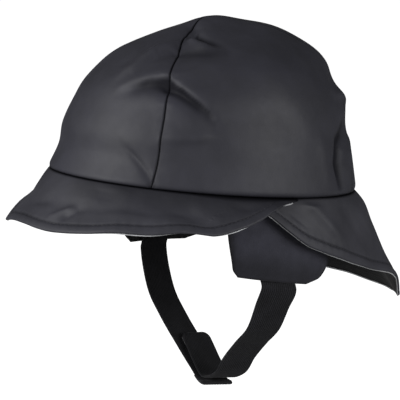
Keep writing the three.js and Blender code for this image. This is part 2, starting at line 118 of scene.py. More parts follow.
# Chin strap
STRAP_WIDTH = 21.5
STRAP_THICK = 1.4
STRAP_TURN = 4
STRAP_TURN_LOW = 3
STRAP_EASE = 30
CHIN_DROP = 126
TAB_LENGTH = 37
TAB_SHIFT = 3.2
TAB_CORNER = 5
RIGHT_FORWARD = 5
OVERLAP_FORWARD = 1
STRAP_TAIL = 2
HEM_LENGTH = 9
FASTENER_THICK = 1
FASTENER_MARGIN = 2
STRAP_SEWN = 5
STRAP_BEHIND = 1.5
STRAP_FORWARD = 0.7
STRAP_RIBS = 18
RIB_DEPTH = 0.2


def table(columns, *rows):
    """A short table as a column of numbers for each name."""
    return dict(zip(columns.split(), np.array(rows, float).T))


def fold(width, other, *points):
    """A fold or crease through its points. width is how far it reaches on its upper or left side, and
    other on its lower or right one, in millimetres."""
    return dict(width=width, other=other, points=points)


CROWN_SECTIONS = table(
    "rise front side back seam rear",
    (0, 1, 1, 1, 0, 0),
    (0.156, 0.922, 0.982, 0.975, 1.5, 4),
    (0.31, 0.893, 0.963, 0.953, 2.3, 7),
    (0.461, 0.821, 0.92, 0.929, 2.8, 9),
    (0.596, 0.739, 0.869, 0.87, 2.6, 10),
    (0.73, 0.601, 0.769, 0.82, 2, 11),
    (0.827, 0.471, 0.632, 0.707, 0.5, 12),
    (0.899, 0.299, 0.443, 0.594, -4, 13),
    (0.952, 0.157, 0.258, 0.458, -10, 15),
    (0.983, 0.07, 0.11, 0.269, -15, 18),
    (1, 0, 0, 0, -18, 20),
)

# Folds and creases of the crown. A point is its turn in degrees from the front towards the wearer's
# left, its share of the way up to the top, and the fold's height in millimetres, negative for a dent.
CROWN_FOLDS = (
    # the pinch at the left front seam, forward
    fold(6, 2, (46.5, 0.467, 1.7), (38.5, 0.459, 1.6), (28, 0.432, 1.1), (15, 0.374, 0)),
    fold(2.6, 5, (46.5, 0.436, -2.4), (35.5, 0.421, -2.0), (26, 0.385, -0.7), (18, 0.34, 0)),
    # and backward, an arch that bends down, with a belly under it
    fold(7, 2, (49, 0.44, 1.0), (54, 0.425, 1.4), (59.5, 0.4, 1.2), (64.5, 0.36, 0.9),
         (67.5, 0.31, 0.5), (69, 0.26, 0)),
    fold(2.2, 5.5, (48.5, 0.42, -2.6), (54, 0.397, -2.9), (60, 0.353, -2.6), (65, 0.312, -1.9),
         (67.5, 0.27, -1.2), (67, 0.22, 0)),
    fold(9, 9, (53, 0.34, 0.8), (60, 0.29, 0.9)),
    fold(4, 3, (48, 0.21, 0.7), (54, 0.208, 1.1), (61, 0.213, 1.0), (68, 0.24, 0)),
    fold(5, 8, (50, 0.17, 0), (57, 0.172, -0.9), (65, 0.185, -1.2), (74, 0.21, 0)),
    # the dent in the left front seam near the top, and the ridge beside it
    fold(11, 12, (47, 0.62, -2.6), (46, 0.8, -3.0)),
    fold(3.5, 4, (46, 0.735, 0.1), (52, 0.718, 2.7), (62, 0.67, 2.0), (74, 0.635, 0)),
    fold(4.5, 4, (49, 0.768, -0.4), (55, 0.75, -2.4), (70, 0.689, -1.9), (84, 0.64, 0)),
    fold(3.5, 6, (48, 0.62, -1.6), (64, 0.606, -1.7), (76, 0.609, -1.2), (90, 0.63, 0)),
    fold(6, 4.5, (8, 0.4, 0), (18.5, 0.487, 1.6), (26.5, 0.609, 2.1), (42, 0.71, 1.0)),
    fold(5, 6, (22, 0.47, 0), (33, 0.57, -1.4), (42, 0.64, -1.0)),
    # the crease that runs up and forward from the foot of the seam
    fold(1.8, 2, (46, 0.02, -1.2), (42.5, 0.066, -1.1), (37, 0.116, -0.9), (29, 0.18, 0)),
    fold(5, 5, (43.5, 0.12, 0.1), (38, 0.17, 0.2), (32, 0.22, 0)),
    # a soft bend down the forehead
    fold(9, 7, (-24, 0.42, 0), (-15, 0.3, 0.7), (0, 0.17, 0.7), (9, 0.07, 0)),
    # the left side towards the back, down to the rear seam
    fold(9, 9, (60, 0.73, -0.8), (85, 0.72, -1.1), (108, 0.7, 0)),
    fold(9, 8, (116, 0.54, -0.8), (124, 0.49, -1.6), (133, 0.44, 0)),
    fold(11, 8, (88, 0.58, 0), (94, 0.48, 0.8), (104, 0.3, 1.0), (111, 0.17, 0)),
    fold(4.9, 4, (146, 0.262, -0.8), (134, 0.24, -2.0), (125, 0.19, -3.0), (122.5, 0.12, -3.0),
         (124, 0.04, -2.0)),
    fold(5, 4, (110, 0.25, 0), (113, 0.17, 0.9), (114, 0.09, 0.8), (115, 0.03, 0.2)),
    fold(3, 4, (143, 0.2, 0.8), (137, 0.15, 1.4), (132.5, 0.08, 1.3), (132, 0.02, 0.5)),
    fold(3, 4, (128, 0.38, 0), (136, 0.35, -0.7), (143, 0.335, -1.3), (152, 0.32, -0.6)),
    fold(3.5, 3, (124, 0.42, 0), (134, 0.39, 0.9), (142, 0.37, 1.4)),
    # the rolls across the back
    fold(8, 6, (146, 0.355, 2.6), (160, 0.345, 2.8), (185, 0.335, 2.0), (205, 0.33, 0)),
    fold(9, 9, (138, 0.24, -1.9), (185, 0.24, -1.9), (205, 0.25, 0)),
    fold(9, 9, (140, 0.45, -1.8), (185, 0.45, -1.8), (205, 0.44, 0)),
    fold(8, 8, (140, 0.58, 0.7), (185, 0.58, 0.7), (205, 0.58, 0)),
    fold(4, 5, (220, 0.04, -1.6), (214, 0.13, -1.4), (202, 0.24, 0)),
    fold(9, 7, (240, 0.42, 0), (228, 0.46, 1.5), (212, 0.5, 1.3), (200, 0.52, 0)),
    # the right side, pinched at its front seam a little lower than the left
    fold(6, 2.8, (-49, 0.46, 0.2), (-57, 0.446, 1.5), (-65, 0.415, 1.2), (-72, 0.35, 0)),
    fold(2.8, 4.5, (-49, 0.43, -0.3), (-57, 0.41, -1.4), (-64, 0.37, -0.9), (-68, 0.33, 0)),
    fold(12, 12, (-47, 0.64, -1.2), (-46, 0.8, -1.2)),
    fold(3, 4, (-45, 0.02, -0.8), (-38, 0.1, -0.8), (-28, 0.2, 0)),
    fold(3.5, 5, (-134, 0.26, 0), (-127, 0.21, -1.8), (-124, 0.1, -2.0), (-128, 0.02, -0.8)),
    fold(5, 4, (-113, 0.27, 0), (-116, 0.18, 1.0), (-119, 0.08, 0.8)),
    fold(9, 7, (-84, 0.55, 0), (-92, 0.42, 0.8), (-104, 0.22, 0)),
)

BRIM_SECTIONS = table(
    "along reach drop",
    (0, 1, 1), (0.3, 0.93, 0.99), (0.51, 0.758, 0.871), (0.66, 0.661, 0.828),
    (0.735, 0.586, 0.652), (0.8, 0.469, 0.478), (0.9, 0.229, 0.14), (1, 0.02, 0.02),
)

BRIM_PROFILE = table(
    "out down",
    (0, 0), (0.11, 0.13), (0.28, 0.35), (0.43, 0.55), (0.59, 0.68), (0.78, 0.83), (1, 1),
)

BRIM_WAVES = table(
    "turn width lift", (-24, 15, -7.4), (12, 10, -1.9), (36, 8, 1.8), (57, 7, 2.2), (-62, 10, 1.5),
)

# The same for the brim and the neck flap, where hang is a share of the way from the seam to the hem.
BRIM_FOLDS = (
    fold(7, 11, (42, 0.2, -0.4), (50, 0.32, -2.0), (57, 0.5, -2.4), (62, 0.74, -1.4), (65, 0.95, 0)),
    fold(5, 6, (58, 0.22, 0), (62, 0.4, 1.0), (66, 0.6, 0.9), (70, 0.8, 0)),
    fold(6, 5, (28, 0.62, 0), (40, 0.66, 0.9), (50, 0.76, 0.9), (56, 0.9, 0)),
    fold(3.5, 2.5, (9, 0.84, 0), (12.5, 0.74, 1.1), (16, 0.6, 1.3), (20, 0.48, 0)),
    fold(3, 4, (15, 0.84, 0), (17.5, 0.72, -1.2), (20.5, 0.6, -0.7), (24, 0.5, 0)),
    fold(4, 5, (-12, 0.72, 0), (-4, 0.64, -0.8), (4, 0.52, -0.8), (11, 0.38, 0)),
    fold(5, 6, (18, 0.12, 0), (28, 0.26, -0.9), (38, 0.3, 0)),
    fold(4, 5, (70, 0.2, 0), (77, 0.4, -0.9), (82, 0.6, 0)),
    fold(4, 5, (-58, 0.2, 0), (-50, 0.5, -1.2), (-42, 0.8, 0)),
    fold(5, 5, (-84, 0.3, 0), (-74, 0.5, 0.9), (-66, 0.7, 0)),
)

NECK_FOLDS = (
    fold(7, 6, (103, 0.08, 0), (107, 0.25, 1.5), (114, 0.55, 1.7), (121, 0.85, 0.4)),
    fold(8, 9, (120, 0.05, 0), (127, 0.3, -1.5), (134, 0.6, -1.4), (142, 0.85, 0)),
    fold(4, 4, (95, 0.4, 0), (99, 0.55, -0.4), (106, 0.72, 0)),
    fold(8, 6, (132, 0.1, 0), (142, 0.4, 1.2), (152, 0.8, 0)),
    fold(8, 6, (196, 0.1, 0), (208, 0.4, 1.5), (220, 0.8, 0)),
    fold(7, 7, (178, 0.1, 0), (172, 0.4, -1.5), (166, 0.8, 0)),
    fold(6, 7, (236, 0.1, 0), (229, 0.4, -1.2), (222, 0.8, 0)),
)

NECK_SECTIONS = table(
    "along reach drop",
    (0, 0.03, 0.02), (0.075, 0.087, 0.11), (0.154, 0.101, 0.227), (0.234, 0.108, 0.332),
    (0.329, 0.111, 0.402), (0.453, 0.142, 0.482), (0.595, 0.245, 0.567), (0.737, 0.485, 0.651),
    (0.863, 0.716, 0.807), (1, 1, 1),
)

NECK_WAVES = table("turn width lift", (170.8, 6, -4.9), (180.7, 6, 3.8), (202.3, 9, -8))

NECK_PROFILE = table("out down", (0, 0), (0.248, 0.16), (0.416, 0.38), (0.58, 0.58), (0.758, 0.78), (1, 1))

FLAP_SECTIONS = table(
    "down front rear",
    (0, 0.97, 1.1), (0.3, 0.97, 1.13), (0.55, 0.94, 1.13), (0.7, 0.9, 1.09),
    (0.83, 0.86, 0.98), (0.93, 0.83, 0.81), (1, 0.75, 0.52),
)

STRAP_ROUTE = table(
    "left right down",
    (1, 1, 0), (1, 1, 0.06), (0.91, 0.965, 0.2), (0.77, 0.85, 0.42),
    (0.58, 0.66, 0.58), (0.39, 0.42, 0.75), (0.24, 0.18, 0.91),
)


# Numbers and places, for many points at once

def even(rows, column, share):
    """A column of evenly spaced rows as a smooth curve through them."""
    values = rows[column]
    place = np.clip(share, 0, 1) * (len(values) - 1)
    row = np.minimum(place.astype(int), len(values) - 2)
    way = place - row
    ends = np.concatenate([values[:1], values, values[-1:]])
    before, start, end, after = (ends[row + i] for i in range(4))
    slope_in = (end - before) / 2
    slope_out = (after - start) / 2
    bend = 2 * (start - end) + slope_in + slope_out
    return ((bend * way + 3 * (end - start) - 2 * slope_in - slope_out) * way + slope_in) * way + start


def keyed(rows, key, column, at):
    """The same where a key column spaces the rows unevenly."""
    keys = rows[key]
    return even(rows, column, np.interp(at, keys, np.linspace(0, 1, len(keys))))


def smooth_step(value, low, high):
    share = np.clip((value - low) / (high - low), 0, 1)
    return share * share * (3 - 2 * share)


def mix(start, end, share):
    return start + (end - start) * share


def degrees_apart(turn, other):
    return (turn - other + 180) % 360 - 180


def unit(vectors):
    return vectors / np.linalg.norm(vectors, axis=-1, keepdims=True)


def rough(points, size, seed):
    """Smooth noise from -1 to 1 whose bumps are about size millimetres apart."""
    offset = Vector((seed * 17.3, seed * 5.1, seed * 9.7))
    return np.array([noise.noise(Vector(p) / size + offset) for p in points])


# The hat's forms

def opening_at(turn):
    """Where the crown meets what hangs from it, and the outward direction there."""
    s, c = np.sin(np.radians(turn)), np.cos(np.radians(turn))
    width = OPENING_WIDTH / 2 * (1 - FRONT_NARROWING * c)
    outward = unit(np.stack([s / width, -c / (OPENING_LENGTH / 2), 0 * s], -1))
    point = np.stack([width * s, -OPENING_LENGTH / 2 * c, SEAM_RISE * c - SEAM_SAG * s * s], -1)
    return point, outward


def fold_heights(turn, up, folds, per_degree, per_up):
    """The height that folds give at places on the unrolled cloth, in millimetres."""
    total = np.zeros_like(turn)
    for fold in folds:
        nearest = np.full_like(turn, 1e3)
        height = np.zeros_like(turn)
        side = np.zeros_like(turn)
        for (a_turn, a_up, a_height), (b_turn, b_up, b_height) in zip(fold["points"], fold["points"][1:]):
            x, y = degrees_apart(turn, a_turn) * per_degree, (up - a_up) * per_up
            run_x, run_y = (b_turn - a_turn) * per_degree, (b_up - a_up) * per_up + 0 * turn
            share = np.clip((x * run_x + y * run_y) / np.maximum(run_x ** 2 + run_y ** 2, 1e-6), 0, 1)
            away = np.hypot(x - run_x * share, y - run_y * share)
            closer = away < nearest
            nearest = np.where(closer, away, nearest)
            height = np.where(closer, mix(a_height, b_height, smooth_step(share, 0, 1)), height)
            # which side of the fold's line: its upper or left one has the first width
            flat = np.abs(run_x) > np.abs(run_y)
            across = (run_x * y - run_y * x) * np.where(flat, np.sign(run_x), -np.sign(run_y))
            side = np.where(closer, across / np.maximum(np.hypot(run_x, run_y), 1e-6), side)
        width = mix(fold["other"], fold["width"], smooth_step(side, -1.5, 1.5))
        # a crest that is rounded over half a millimetre and falls away on both sides
        crest = np.sqrt((nearest / width) ** 2 + 0.06) - 0.06 ** 0.5
        total += height * np.exp(-1.35 * crest ** 1.5)
    return total


def crown_form(turn, up):
    point, _ = opening_at(turn)
    lengthwise = np.cos(np.radians(turn))
    end = np.where(lengthwise > 0, even(CROWN_SECTIONS, "front", up), even(CROWN_SECTIONS, "back", up))
    reach = mix(even(CROWN_SECTIONS, "side", up), end, np.abs(lengthwise) ** 1.5)
    rise = even(CROWN_SECTIONS, "rise", up)
    place = np.stack([point[:, 0] * reach, point[:, 1] * reach, mix(point[:, 2], CROWN_HEIGHT, rise)], -1)
    from_peak = np.hypot(place[:, 0], place[:, 1] - TOP_BULGE_BACK)
    place[:, 2] += TOP_BULGE * np.exp(-(from_peak / TOP_BULGE_WIDTH) ** 2)
    return place


def front_seam_at(up):
    return FRONT_SEAM + even(CROWN_SECTIONS, "seam", up)


def rear_seam_at(up):
    return REAR_SEAM + even(CROWN_SECTIONS, "rear", up)


def from_nearest_seam(turn, up, radius):
    """How far a place is round the crown from its nearest seam."""
    nearest = np.full_like(turn, 1e3)
    for seam in (front_seam_at(up), rear_seam_at(up)):
        for side in (1, -1):
            apart = np.abs(degrees_apart(turn, side * seam))
            nearest = np.minimum(nearest, np.radians(apart) * radius)
    return nearest


def crown_at(turn, up, inset):
    """A place on the crown's cloth, inset millimetres inside its outer face."""
    place = crown_form(turn, up)
    low = np.clip(up, 0.01, 0.95)
    around = crown_form(turn + 1, low) - crown_form(turn - 1, low)
    upward = crown_form(turn, low + 0.01) - crown_form(turn, low - 0.01)
    facing = unit(np.cross(around, upward))
    facing[:, 2] *= np.minimum(1, up * 12)
    per_degree = CLOTH_PER_DEGREE * np.maximum(0.25, 1 - up ** 2)
    from_base = up * CROWN_CLOTH
    from_seam = from_nearest_seam(turn, up, np.hypot(place[:, 0], place[:, 1]))
    tuck = SEAM_TUCK * np.exp(-(from_base / 2.2) ** 2) + 0.12 * np.exp(-(from_seam / 2.5) ** 2)
    # a narrow furrow where the panels' edges turn in, and the small puckers that the stitching gathers
    furrow = SEAM_FURROW * np.exp(-(from_seam / SEAM_FURROW_WIDTH) ** 2)
    along_seam = np.sin(from_base * 0.8 + 2 * np.sin(from_base * 0.13))
    gather = SEAM_GATHER * along_seam * np.exp(-(from_seam / 4) ** 2)
    gather += FOOT_GATHER * np.sin(turn * 0.9 + 2 * np.sin(turn * 0.11)) * np.exp(-(from_base / 6) ** 2)
    calm = np.minimum(np.minimum(1, up * 12), (1 - up) * 6)
    height = fold_heights(turn, up, CROWN_FOLDS, per_degree, CROWN_CLOTH)
    height *= np.minimum(np.minimum(1, 0.4 + up * 12), (1 - up) * 6)
    height += (0.35 * rough(place, 36, 1) + 0.1 * rough(place, 12, 2) + gather) * calm
    return place + facing * (height - tuck - furrow - inset)[:, None]


def crown_shade(turn, up):
    """The painted shade on the crown, from 0 to 1: deep in a seam, at the crown's foot and in a crease."""
    place = crown_form(turn, up)
    from_seam = from_nearest_seam(turn, up, np.hypot(place[:, 0], place[:, 1]))
    from_foot = up * CROWN_CLOTH
    seams = np.maximum(0.9 * np.exp(-(from_seam / SEAM_SHADE_WIDTH) ** 2),
                       np.exp(-(from_foot / FOOT_SHADE_WIDTH) ** 2))
    # painted shade, darker in a knot where a seam meets the crown's foot
    knots = 0.7 * np.exp(-(np.hypot(from_seam, from_foot) / KNOT_SHADE_WIDTH) ** 2)
    seams = np.maximum(seams, knots)
    creases = [fold for fold in CROWN_FOLDS if fold["width"] < 5 and fold["points"][1][2] < 0]
    # the upper wall of a crease overhangs, so the painted shade starts a little above its line
    depth = -fold_heights(turn, up - 0.01, creases, CLOTH_PER_DEGREE + 0 * turn, CROWN_CLOTH)
    return np.maximum(seams, CREASE_SHADE * smooth_step(depth, 0.5, 2.6))


def skirt_shade(turn, hang, size, hem):
    """The same painted shade for a skirt: under the crown's edge, and along its hem's stitching."""
    length = np.hypot(*size(turn))
    side = np.abs(turn)
    # the painted shadow under the crown's edge reaches furthest above the ears, where the edge overhangs
    # most
    deep = UNDER_EDGE_WIDTH + UNDER_EDGE_MORE * np.exp(-((side - UNDER_EDGE_MORE_AT) / 16) ** 2)
    below = np.maximum(0, hang) * length
    # a wide faint painted shadow below the crown's edge, faintest at the front and the back
    wide = 0.15 + 0.4 * smooth_step(side, 0, 35) * (1 - smooth_step(side, 85, 105))
    under = np.maximum(np.exp(-(below / deep) ** 2), wide * np.exp(-(below / UNDER_EDGE_FADE) ** 2))
    # painted shade along the furrow of the hem's stitching
    sewn = HEM_SHADE * np.exp(-(((1 - hang) * length - hem) / HEM_SHADE_WIDTH) ** 2)
    sewn = sewn * np.clip(length / 15, 0, 1)
    return np.maximum(under, sewn)


def skirt_at(turn, hang, profile, reach, drop, inset, under, relief_height):
    """A place on a skirt that hangs from the crown's seam, hang being the share of the way to its hem.
    Below 0 it is the seam allowance, which turns up inside the crown."""
    point, outward = opening_at(turn)
    turned_in = np.clip(-hang / ALLOWANCE, 0, 1)
    hang = np.maximum(hang, 0)
    out = reach * even(profile, "out", hang)
    down = drop * even(profile, "down", hang)
    facing = outward.copy()
    facing[:, 2] = reach / drop
    facing = unit(facing)
    beyond = np.maximum(0, hang - 1)
    out = out + reach * beyond
    down = down + drop * beyond
    inside = np.maximum(0, CLOTH + SEAM_GAP - under) * smooth_step(turned_in, 0, 0.5)
    tuck = SEAM_TUCK * np.maximum(0, 1 - hang) ** 4 + under + inside
    place = point + outward * (out - tuck)[:, None]
    place[:, 2] -= down + SEAM_GAP - ALLOWANCE_HEIGHT * np.maximum(0, turned_in - 0.35)
    return place + facing * (relief_height - inset)[:, None]


def lift_at(turn, waves):
    """How much a skirt's waves lift its hem."""
    lifts = zip(*waves.values())
    return sum(lift * np.exp(-((turn - middle) / width) ** 2) for middle, width, lift in lifts)


def brim_size(turn):
    along = np.abs(turn) / BRIM_END
    reach = BRIM_REACH * keyed(BRIM_SECTIONS, "along", "reach", along)
    drop = BRIM_DROP * keyed(BRIM_SECTIONS, "along", "drop", along) - lift_at(turn, BRIM_WAVES)
    return reach, drop


def hem_relief(to_edge, hem, along):
    """The furrow of a hem's stitching and the hem's slight fullness, by the distance to its edge."""
    furrow = -0.4 * np.exp(-((to_edge - hem) / 0.7) ** 2)
    full = 0.3 * np.exp(-((to_edge - hem * 0.45) / (hem * 0.4)) ** 2)
    gather = 0.1 * np.sin(along * 1.1) * np.exp(-((to_edge - hem) / 2.5) ** 2)
    return furrow + full + gather


def brim_at(turn, hang, inset):
    reach, drop = brim_size(turn)
    length = np.hypot(reach, drop)
    to_edge = (1 - hang) * length
    height = hem_relief(to_edge, BRIM_HEM, turn * BRIM_PER_DEGREE) * np.clip(length / 15, 0, 1)
    folds = fold_heights(turn, hang, BRIM_FOLDS, BRIM_PER_DEGREE + 0 * turn, BRIM_CLOTH)
    height = height + folds * np.clip(hang * 5, 0, 1)
    place = skirt_at(turn, hang, BRIM_PROFILE, reach, drop, inset, 0, height)
    calm = np.clip(length / 20, 0, 1) * np.clip(hang * 4, 0, 1)
    place[:, 2] += (0.5 * rough(place, 30, 3) + 0.12 * rough(place, 9, 4)) * calm
    return place


def neck_size(turn):
    along = 1 - np.abs(turn - 180) / (180 - NECK_START)
    reach = NECK_REACH * keyed(NECK_SECTIONS, "along", "reach", along)
    drop = NECK_DROP * keyed(NECK_SECTIONS, "along", "drop", along) - lift_at(turn, NECK_WAVES)
    return reach, drop


def neck_at(turn, hang, inset):
    reach, drop = neck_size(turn)
    length = np.hypot(reach, drop)
    to_edge = (1 - hang) * length
    height = hem_relief(to_edge, NECK_HEM, turn * NECK_PER_DEGREE) * np.clip(length / 20, 0, 1)
    folds = fold_heights(turn, hang, NECK_FOLDS, NECK_PER_DEGREE + 0 * turn, NECK_CLOTH)
    height = height + folds * np.clip(hang * 5, 0, 1)
    from_front = 180 - np.abs(turn - 180)
    under = NECK_UNDER * (1 - smooth_step(from_front, BRIM_END, BRIM_END + NECK_OPEN))
    place = skirt_at(turn, hang, NECK_PROFILE, reach, drop, inset, under, height)
    calm = np.clip(length / 30, 0, 1) * np.clip(hang * 4, 0, 1)
    away = unit(place * (1, 1, 0))
    return place + away * ((0.5 * rough(place, 36, 5) + 0.14 * rough(place, 10, 6)) * calm)[:, None]


def flap_foot(side, y):
    return -FLAP_DROP - (LEFT_SLANT if side > 0 else RIGHT_SLANT) * (y - FLAP_BACK) / FLAP_WIDTH


def flap_at(side, across, up, depth):
    """A place on an ear flap: depth 0 is its outer face and 1 its inner one."""
    down = 1 - up
    half = FLAP_WIDTH / 2
    front = FLAP_BACK - half * keyed(FLAP_SECTIONS, "down", "front", down)
    rear = FLAP_BACK + half * keyed(FLAP_SECTIONS, "down", "rear", down)
    if side < 0:
        front = front + RIGHT_ROUNDER * smooth_step(down, 0.8, 1)
    y = mix(front, rear, across)
    turn = np.degrees(np.arccos(-y / OPENING_LENGTH * 2))
    point, outward = opening_at(turn)
    z = mix(point[:, 2] + FLAP_TOP, flap_foot(side, y), down)
    lean = mix(FLAP_LEAN_FRONT, FLAP_LEAN_REAR, (y - FLAP_BACK) / FLAP_WIDTH + 0.5) * down ** 1.3
    pillow = (1 - np.abs(2 * across - 1) ** 3) * np.sin(np.pi * np.clip(down, 0, 1)) ** 0.6
    swell = (FLAP_PAD - FLAP_EDGE) / 2 * pillow
    sewn = SEAM_TUCK + NECK_UNDER + CLOTH + 2 * SEAM_GAP
    place = point + outward * (swell - sewn - lean - depth * (FLAP_EDGE + 2 * swell))[:, None]
    place[:, 2] = z
    return place


def strap_route():
    """The loop's line from the left ear flap to the right one, as places in x and z by arc length."""
    foot = flap_at(1, np.array([0.5]), np.array([0.0]), 0.5)[0]
    top = -FLAP_DROP - SEAM_GAP
    down = mix(top, -CHIN_DROP, STRAP_ROUTE["down"])
    left = np.stack([foot[0] * STRAP_ROUTE["left"], down], -1)
    right = np.stack([-foot[0] * STRAP_ROUTE["right"], down], -1)
    line = [*left, np.array([0, -CHIN_DROP]), *right[::-1]]
    line = [2 * line[0] - line[1]] + line + [2 * line[-1] - line[-2]]
    dense = []
    for a, b, c, d in zip(line, line[1:], line[2:], line[3:]):
        knots = np.cumsum([0] + [np.linalg.norm(q - p) ** 0.5 for p, q in ((a, b), (b, c), (c, d))])
        t = np.linspace(knots[1], knots[2], 60, endpoint=False)[:, None]
        low = [mix(p, q, (t - knots[i]) / (knots[i + 1] - knots[i])) for i, (p, q) in
               enumerate(((a, b), (b, c), (c, d)))]
        mid = [mix(low[i], low[i + 1], (t - knots[i]) / (knots[i + 2] - knots[i])) for i in (0, 1)]
        dense.append(mix(mid[0], mid[1], (t - knots[1]) / (knots[2] - knots[1])))
    dense = np.concatenate(dense + [line[-2][None]])
    length = np.concatenate([[0], np.cumsum(np.linalg.norm(np.diff(dense, axis=0), axis=1))])
    return dense, length


ROUTE, ROUTE_LENGTHS = strap_route()
ROUTE_LENGTH = ROUTE_LENGTHS[-1]
LOWEST = ROUTE_LENGTHS[len(ROUTE_LENGTHS) // 2]
STRAP_MIDDLE = FLAP_BACK - 0.5


def strap_at(along, y, into):
    """A place on a strap: along from the left flap, and into the loop, in millimetres."""
    def on_route(at):
        place = np.stack([np.interp(at, ROUTE_LENGTHS, ROUTE[:, i]) for i in (0, 1)], -1)
        place[:, 1] += np.maximum(0, np.maximum(-at, at - ROUTE_LENGTH))
        return place
    ahead = unit(on_route(along + 1.5) - on_route(along - 1.5))
    inward = np.stack([ahead[:, 1], -ahead[:, 0]], -1)
    left = along < LOWEST
    from_flap = np.clip(np.where(left, along, ROUTE_LENGTH - along), 0, None)
    to_lowest = from_flap / np.where(left, LOWEST, ROUTE_LENGTH - LOWEST)
    turned = mix(STRAP_TURN, STRAP_TURN_LOW, to_lowest) * (STRAP_MIDDLE - y) / STRAP_WIDTH
    ease = 1 - smooth_step(from_flap, 0, STRAP_EASE)
    slanted = (np.where(left, flap_foot(1, y), flap_foot(-1, y)) + FLAP_DROP) * ease
    # its end is sewn on behind the flap
    behind = STRAP_BEHIND * (1 - smooth_step(np.where(left, along, ROUTE_LENGTH - along), -2, 3))
    place = on_route(along) + inward * (into + turned + behind)[:, None]
    return np.stack([place[:, 0], y, place[:, 1] + slanted], -1)


# Making pieces

def bent_grid(columns, rows, place, cloth_size, shade=None):
    """A grid of faces whose points are moved to place(across, up), with cloth coordinates in metres.
    shade(across, up) gives each point's painted shade from 0 to 1, as deep in a seam or under an edge,
    kept as the attribute sewn."""
    bm = bmesh.new()
    cloth = bm.loops.layers.uv.new("cloth")
    bmesh.ops.create_grid(bm, x_segments=columns, y_segments=rows, size=1)
    for face in bm.faces:
        face.smooth = True
        for loop in face.loops:
            x, y, _ = loop.vert.co
            loop[cloth].uv = ((x + 1) / 2 * cloth_size[0] * MM, (y + 1) / 2 * cloth_size[1] * MM)
    shares = np.array([(v.co.x, v.co.y) for v in bm.verts]) / 2 + 0.5
    for vert, point in zip(bm.verts, place(shares[:, 0], shares[:, 1]) * MM):
        vert.co = point
    if shade:
        # the painted shade is kept per point in the attribute sewn
        sewn = bm.verts.layers.float.new("sewn")
        for vert, depth in zip(bm.verts, shade(shares[:, 0], shares[:, 1])):
            vert[sewn] = depth
    return bm


def close_up(bm, fill=True):
    """Merges the edges that meet, closes open ends, and turns the faces outwards."""
    bmesh.ops.remove_doubles(bm, verts=bm.verts, dist=1e-6)
    loose = [edge for edge in bm.edges if not edge.link_faces]
    bmesh.ops.delete(bm, geom=loose, context="EDGES")
    if fill:
        open_edges = [edge for edge in bm.edges if edge.is_boundary]
        made = bmesh.ops.holes_fill(bm, edges=open_edges, sides=0)
        bmesh.ops.triangulate(bm, faces=made["faces"])
    bmesh.ops.recalc_face_normals(bm, faces=bm.faces)
    return bm


def piece(name, bm, materials, nodes=()):
    mesh = bpy.data.meshes.new(name)
    bm.to_mesh(mesh)
    bm.free()
    for material in materials:
        mesh.materials.append(material)
    made = bpy.data.objects.new(name, mesh)
    SCENE.collection.objects.link(made)
    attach(made, "root")
    if nodes:
        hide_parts(*nodes)
    return made


def cloth_section(start, outer_rows, inner_rows, edge_rows, thick):
    """Once round a cloth wall's cut: a share of the way to the hem, a depth from its outer face, and how
    far past the hem the rounded edge stands."""
    section = [(share, 0.0, 0.0) for share in np.linspace(start, 1, outer_rows)]
    for step in range(1, edge_rows):
        angle = math.pi * step / edge_rows
        section.append((1.0, thick / 2 * (1 - math.cos(angle)), thick / 2 * math.sin(angle)))
    section += [(share, thick, 0.0) for share in np.linspace(1, start, inner_rows)]
    section.append(section[0])
    return np.array(section)


def thinning(length):
    """The share of its thickness that a wall keeps where the skirt narrows to nothing."""
    return mix(0.4, 1, np.clip(length / 12, 0, 1))


def line_inside(bm, axis, past):
    """Gives the faces past a place on the cloth, the inner ones, the second material."""
    for face in bm.faces:
        if min(loop[bm.loops.layers.uv.active].uv[axis] for loop in face.loops) >= past:
            face.material_index = 1


def swept_wall(columns, section, at, turns, size, hem, cloth_size):
    """A cloth wall along a range of turns, closed round its section."""
    rows = len(section) - 1

    def shade(across, up):
        return skirt_shade(turns(across), section[np.rint(up * rows).astype(int)][:, 0], size, hem)

    def place(across, up):
        row = np.rint(up * rows).astype(int)
        share, depth, beyond = section[row].T
        turn = turns(across)
        length = np.hypot(*size(turn))
        hang = share + beyond / np.maximum(length, 1)
        return at(turn, hang, depth * thinning(length))

    bm = bent_grid(columns, rows, place, cloth_size, shade)
    outer_rows = int((section[:, 1] < CLOTH * 0.75).argmin())
    line_inside(bm, 1, cloth_size[1] * MM * (outer_rows - 0.5) / rows)
    return close_up(bm)


def both_sides(around):
    """Which face of a flat piece a place once round it is on, 1 or -1, and how far across it is."""
    lap = around * 2
    return np.where(lap < 1, 1.0, -1.0), np.where(lap < 1, lap, 2 - lap)


def uneven(across, bunch):
    """Bunches a panel's columns near its two seams."""
    return across - bunch * np.sin(2 * np.pi * across) / (2 * np.pi)


def crown_cloth(materials):
    panels = 4
    panel_columns = 96
    outer_rows = 130
    cloth_up = 300
    section = cloth_section(0, outer_rows, 36, 1, CLOTH)
    rows = len(section) - 1

    def panel_places(across, up):
        share, depth, _ = section[np.rint(up * rows).astype(int)].T
        panel = np.minimum((across * panels).astype(int), panels - 1)
        way = uneven(across * panels - panel, 0.72)
        front, rear = front_seam_at(share), rear_seam_at(share)
        seams = np.stack([-front, front, rear, 360 - rear, 360 - front])
        every = np.arange(len(panel))
        return mix(seams[panel, every], seams[panel + 1, every], way), share, depth

    def place(across, up):
        return crown_at(*panel_places(across, up))

    def shade(across, up):
        return crown_shade(*panel_places(across, up)[:2])

    bm = bent_grid(panels * panel_columns, rows, place, (550, cloth_up), shade)
    line_inside(bm, 1, cloth_up * MM * (outer_rows - 0.5) / rows)
    close_up(bm)
    nodes = ["crown_front_panel", "crown_left_panel", "crown_back_panel", "crown_right_panel"]
    return piece("crown", bm, materials, nodes)


def brim_turns(across):
    return mix(-BRIM_END, BRIM_END, across)


